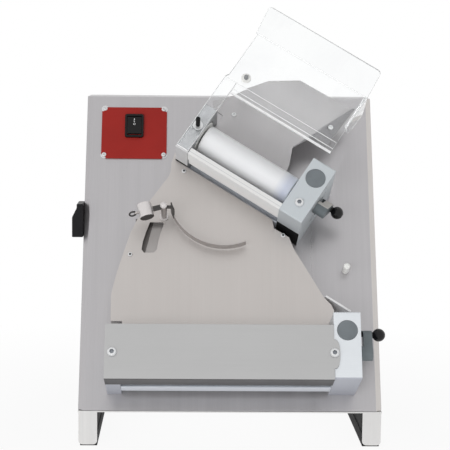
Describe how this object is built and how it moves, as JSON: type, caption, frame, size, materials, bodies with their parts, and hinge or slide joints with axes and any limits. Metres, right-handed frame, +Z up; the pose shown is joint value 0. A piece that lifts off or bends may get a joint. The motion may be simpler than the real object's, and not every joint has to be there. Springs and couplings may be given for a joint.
{
  "type": "pizza dough roller machine",
  "caption": "Countertop dough sheeter: leaning steel cabinet, turned upper rollers under a clear guard, chute with weighted rocker, long lower rollers under a cover.",
  "frame": {"origin": "bottom centre of the whole machine's bounding box, on the worktop", "axes": "+Z up, the operator stands on the -Y side, +X is the operator's right"},
  "size_m": [0.4568, 0.4044, 0.634],
  "materials": {
    "steel": "brushed stainless sheet",
    "chute": "brushed stainless sheet, warm",
    "aluminium": "machined aluminium, satin",
    "bright": "bright turned steel",
    "roller": "smooth food-grade plastic",
    "grey": "satin",
    "black": "satin",
    "dark": "dark burnished",
    "light_dark": "dark anodised",
    "red": "gloss enamel",
    "rubber": "matt",
    "nylon": "smooth",
    "clear": "clear polished sheet",
    "motor": "painted"
  },
  "bodies": {
    "cabinet": {"lower_left_block": "aluminium", "lower_right_block": "aluminium", "lower_block_cap": "grey", "lower_front_scraper": "aluminium", "lower_rear_scraper": "aluminium", "lower_cover": "steel", "lower_cover_screw_left": "bright", "lower_cover_screw_right": "bright", "upper_left_block": "aluminium", "upper_right_block": "aluminium", "upper_block_cap": "grey", "upper_front_scraper": "aluminium", "upper_rear_scraper": "aluminium", "upper_feed_plate": "steel", "upper_guard": "clear", "guard_stud_lower": "black", "guard_stud_upper": "black", "upper_block_screw": "bright", "control_plate": "red", "switch_housing": "black", "stop_peg": "nylon", "chute_plate": "chute", "chute_guide_bar": "bright", "rocker_pivot_bolt": "bright", "motor": "motor", "lower_belt": "rubber", "cross_belt": "rubber", "upper_belt": "rubber", "cabinet_shell": "steel", "back_cover": "steel", "base_frame": "steel", "left_runner_pad": "rubber", "right_runner_pad": "rubber", "side_socket_box": "black", "cable_gland": "black", "drive_plate": "dark"},
    "lower_rear_roller_assembly": {"lower_rear_shaft": "bright", "lower_rear_roller": "roller", "lower_rear_gear": "dark"},
    "lower_front_carrier": {"lower_roller_sleeve": "bright"},
    "lower_front_roller_assembly": {"lower_front_roller": "roller", "lower_front_gear": "dark"},
    "lower_adjuster": {"lower_eccentric_shaft": "bright", "lower_thickness_lever": "dark"},
    "lower_knob": {"lower_lever_knob": "black"},
    "upper_rear_roller_assembly": {"upper_rear_shaft": "bright", "upper_rear_roller": "roller", "upper_rear_gear": "dark"},
    "upper_front_carrier": {"upper_roller_sleeve": "bright"},
    "upper_front_roller_assembly": {"upper_front_roller": "roller", "upper_front_gear": "dark"},
    "upper_adjuster": {"upper_eccentric_shaft": "bright", "upper_thickness_lever": "dark"},
    "upper_knob": {"upper_lever_knob": "black"},
    "motor_rotor": {"motor_shaft": "bright"},
    "countershaft": {"jackshaft": "bright"},
    "rocker": {"rocker_arm": "light_dark", "rocker_counterweight": "bright"},
    "switch_button": {"switch_rocker": "black"}
  },
  "joints": [
    {"name": "lower_rear_roller_spin", "type": "hinge", "parent": "cabinet", "child": "lower_rear_roller_assembly", "pos_m": [0.00115, -0.11291, 0.1252], "axis": [1, 0, 0], "continuous": true},
    {"name": "lower_thickness_hinge", "type": "hinge", "parent": "cabinet", "child": "lower_adjuster", "pos_m": [0.1509, -0.15505, 0.14419], "axis": [1, 0, 0], "range_deg": [-58, 32]},
    {"name": "lower_eccentric_turn", "type": "hinge", "parent": "lower_adjuster", "child": "lower_front_carrier", "pos_m": [0.1509, -0.15469, 0.14575], "axis": [1, 0, 0], "range_deg": [-32.1, 58.1]},
    {"name": "lower_front_roller_spin", "type": "hinge", "parent": "lower_front_carrier", "child": "lower_front_roller_assembly", "pos_m": [0.00115, -0.15469, 0.14575], "axis": [1, 0, 0], "continuous": true},
    {"name": "lower_knob_pull", "type": "slide", "parent": "lower_adjuster", "child": "lower_knob", "axis": [1, 0, 0], "range_m": [0, 0.005], "stiffness_N_per_m": 800, "springref_m": -0.003},
    {"name": "upper_rear_roller_spin", "type": "hinge", "parent": "cabinet", "child": "upper_rear_roller_assembly", "pos_m": [0.03347, 0.01219, 0.38171], "axis": [0.8387, -0.2388, -0.4895], "continuous": true},
    {"name": "upper_thickness_hinge", "type": "hinge", "parent": "cabinet", "child": "upper_adjuster", "pos_m": [0.09895, -0.04871, 0.36223], "axis": [0.8387, -0.2388, -0.4895], "range_deg": [-17, 73]},
    {"name": "upper_eccentric_turn", "type": "hinge", "parent": "upper_adjuster", "child": "upper_front_carrier", "pos_m": [0.09972, -0.04752, 0.36296], "axis": [0.8387, -0.2388, -0.4895], "range_deg": [-73.1, 17.1]},
    {"name": "upper_front_roller_spin", "type": "hinge", "parent": "upper_front_carrier", "child": "upper_front_roller_assembly", "pos_m": [0.03347, -0.02865, 0.40164], "axis": [0.8387, -0.2388, -0.4895], "continuous": true},
    {"name": "upper_knob_pull", "type": "slide", "parent": "upper_adjuster", "child": "upper_knob", "axis": [0.8387, -0.2388, -0.4895], "range_m": [0, 0.005], "stiffness_N_per_m": 800, "springref_m": -0.003},
    {"name": "motor_spin", "type": "hinge", "parent": "cabinet", "child": "motor_rotor", "pos_m": [0.1434, 0.03424, 0.10984], "axis": [1, 0, 0], "continuous": true},
    {"name": "countershaft_spin", "type": "hinge", "parent": "cabinet", "child": "countershaft", "pos_m": [0.11565, 0.08676, 0.28595], "axis": [1, 0, 0], "continuous": true},
    {"name": "rocker_hinge", "type": "hinge", "parent": "cabinet", "child": "rocker", "pos_m": [-0.0901, -0.06102, 0.33654], "axis": [0, 0.8988, -0.4384], "range_deg": [0, 30]},
    {"name": "switch_hinge", "type": "hinge", "parent": "cabinet", "child": "switch_button", "pos_m": [-0.1382, 0.07267, 0.45347], "axis": [1, 0, 0], "range_deg": [0, 14]}
  ],
  "couplings": [
    {"joint": "lower_eccentric_turn", "follows": "lower_thickness_hinge", "ratio": -1},
    {"joint": "lower_front_roller_spin", "follows": "lower_rear_roller_spin", "ratio": -1},
    {"joint": "upper_eccentric_turn", "follows": "upper_thickness_hinge", "ratio": -1},
    {"joint": "upper_front_roller_spin", "follows": "lower_rear_roller_spin", "ratio": -1},
    {"joint": "upper_rear_roller_spin", "follows": "lower_rear_roller_spin", "ratio": 1},
    {"joint": "motor_spin", "follows": "lower_rear_roller_spin", "ratio": 1.6667},
    {"joint": "countershaft_spin", "follows": "lower_rear_roller_spin", "ratio": 1}
  ]
}
